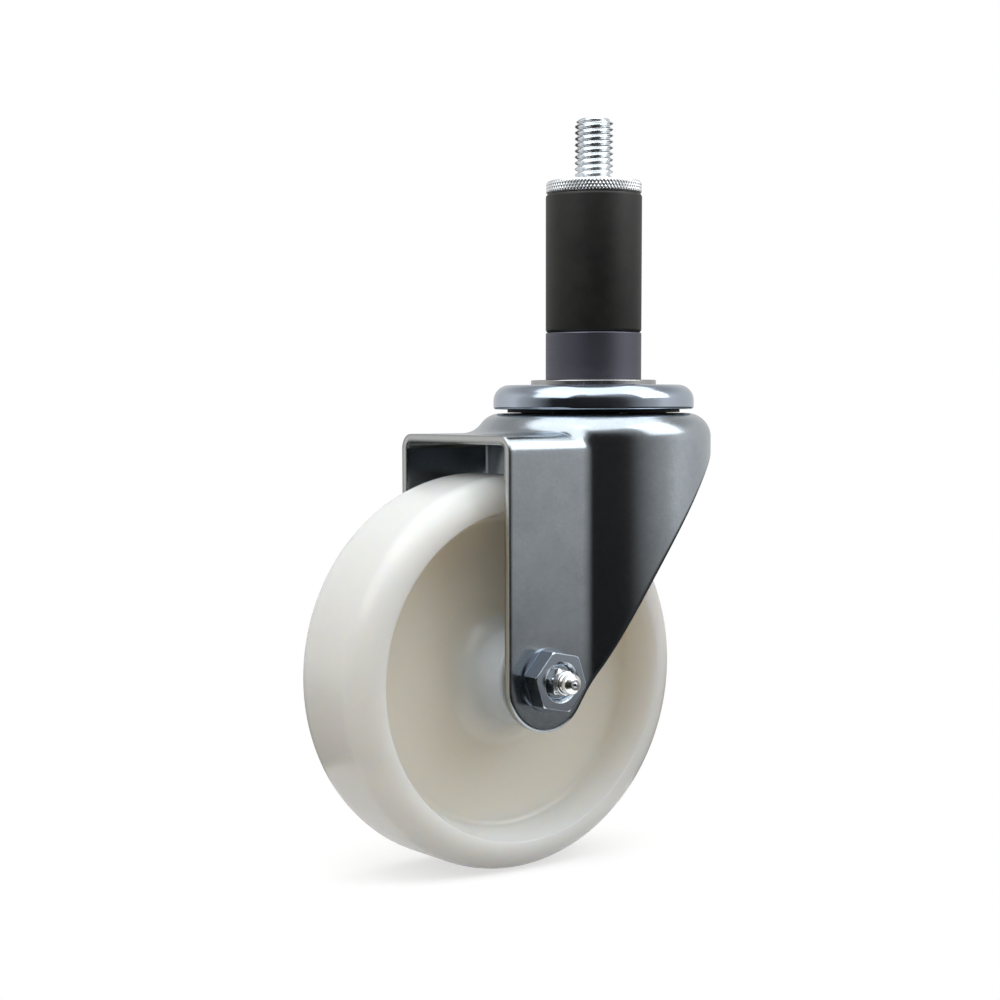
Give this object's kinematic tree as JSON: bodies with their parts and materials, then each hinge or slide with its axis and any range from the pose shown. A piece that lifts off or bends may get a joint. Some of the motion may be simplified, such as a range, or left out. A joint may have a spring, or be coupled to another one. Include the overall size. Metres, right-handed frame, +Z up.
{
  "type": "swivel caster",
  "caption": "Swivel caster with a dished nylon wheel in a pressed steel fork and an expanding rubber stem that grips inside round tube.",
  "frame": {"origin": "on the swivel axis, on the seat where the tube's foot rests", "axes": "+Z up along the swivel axis; the wheel trails towards -X; the axle lies along Y with its nut on the -Y side"},
  "size_m": [0.1445, 0.0837, 0.2423],
  "materials": {
    "bright_zinc": "bright zinc plate, satin",
    "knurled_zinc": "zinc plate over a fine knurl",
    "black_rubber": "moulded rubber, satin",
    "turned_steel": "turned steel, dark",
    "fork_zinc": "zinc-plated pressed sheet, satin grain",
    "bearing_steel": "polished hardened steel",
    "blue_zinc": "blue zinc plate",
    "seal": "black nylon",
    "nylon": "natural white nylon, moulded",
    "cage": "dark nylon"
  },
  "bodies": {
    "stem": {"kingpin": "bright_zinc", "race_cap": "bright_zinc", "dust_seal": "seal", "upper_balls": "bearing_steel", "lower_balls": "bearing_steel", "lower_cup": "fork_zinc", "collar": "turned_steel", "rubber_sleeve": "black_rubber"},
    "draw_bolt": {"expander_bolt": "bright_zinc", "bolt_washer": "blue_zinc"},
    "draw_nut": {"expander_nut": "knurled_zinc"},
    "fork": {"fork": "fork_zinc", "axle_bolt": "blue_zinc", "axle_nut": "blue_zinc", "axle_washer_near": "bright_zinc", "axle_washer_far": "bright_zinc", "grease_fitting": "bright_zinc", "check_ball": "bearing_steel", "axle_sleeve": "turned_steel", "thrust_washer_near": "cage", "thrust_washer_far": "cage"},
    "wheel": {"wheel": "nylon", "bearing_race": "bearing_steel", "bearing_rollers": "bearing_steel", "roller_cage": "cage"}
  },
  "joints": [
    {"name": "swivel", "type": "hinge", "parent": "stem", "child": "fork", "pos_m": [0, 0, -0.011], "axis": [0, 0, 1], "continuous": true},
    {"name": "wheel_spin", "type": "hinge", "parent": "fork", "child": "wheel", "pos_m": [-0.04202, 0, -0.0936], "axis": [0, 1, 0], "continuous": true},
    {"name": "bolt_turn", "type": "hinge", "parent": "stem", "child": "draw_bolt", "pos_m": [0, 0, 0], "axis": [0, 0, 1], "range_deg": [0, 720]},
    {"name": "nut_draw", "type": "slide", "parent": "stem", "child": "draw_nut", "axis": [0, 0, 1], "range_m": [-0.00391, 0], "deforming": ["rubber_sleeve"]}
  ],
  "couplings": [
    {"joint": "nut_draw", "follows": "bolt_turn", "m_per_rad": -0.00031096}
  ]
}
